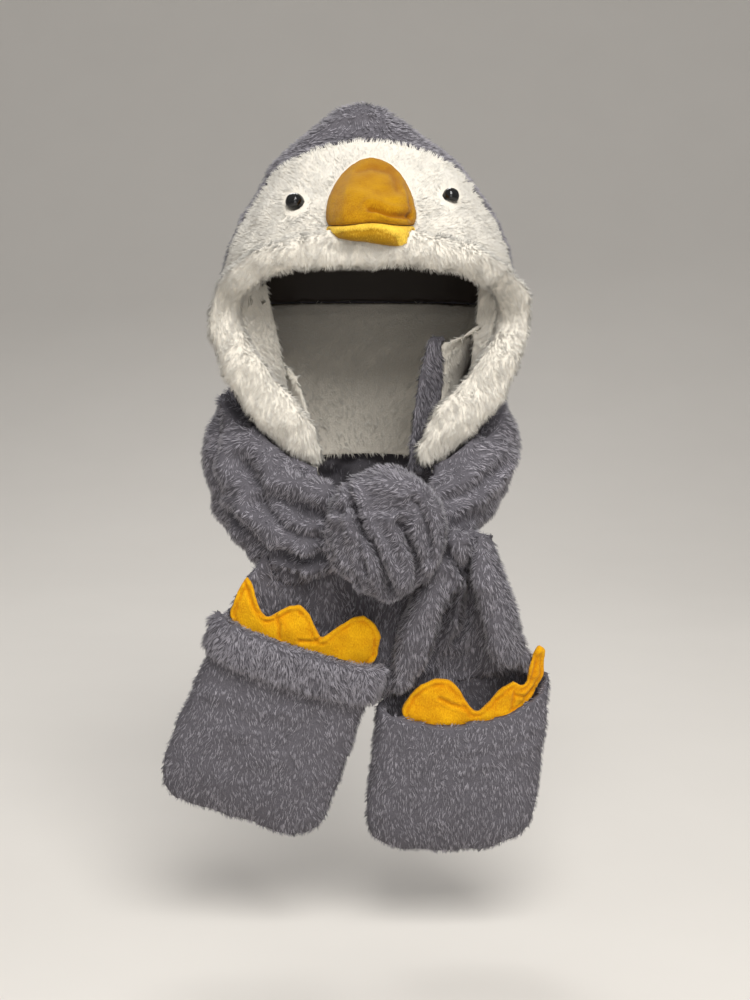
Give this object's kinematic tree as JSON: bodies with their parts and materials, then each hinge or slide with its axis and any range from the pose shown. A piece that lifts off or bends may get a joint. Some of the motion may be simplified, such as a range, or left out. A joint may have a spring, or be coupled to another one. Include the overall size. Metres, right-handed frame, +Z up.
{
  "type": "animal hood scarf",
  "caption": "Plush bird hood with a stuffed beak and button eyes, whose scarf arms cross in a front knot and end in pockets with scalloped yellow toes.",
  "frame": {"origin": "where the crown sits on the top of the wearer's head, inside the hood", "axes": "+Z up, the face looks to -Y, +X to the viewer's right when seen from the front"},
  "size_m": [0.3766, 0.3313, 0.7156],
  "materials": {
    "grey_plush": "long-pile grey plush",
    "white_plush": "creamy white long-pile plush",
    "amber_fleece": "short amber yellow fleece",
    "dark_lining": "smooth dark brown lining cloth",
    "black_button": "glossy black domed plastic"
  },
  "bodies": {
    "root": {"hood_shell": "grey_plush", "face_panel": "white_plush", "face_rim": "white_plush", "crown_lining": "dark_lining", "nape_lining": "white_plush", "inner_fold": "grey_plush", "facing_left": "white_plush", "facing_right": "white_plush", "beak_upper": "amber_fleece", "beak_lower": "amber_fleece", "eye_left": "black_button", "eye_right": "black_button", "knot": "grey_plush", "collar": "grey_plush", "tail_left": "grey_plush", "tail_right": "grey_plush", "pocket_left": "grey_plush", "pocket_right": "grey_plush", "cuff_left": "grey_plush", "toes_left": "amber_fleece", "toes_right": "amber_fleece"}
  },
  "joints": []
}
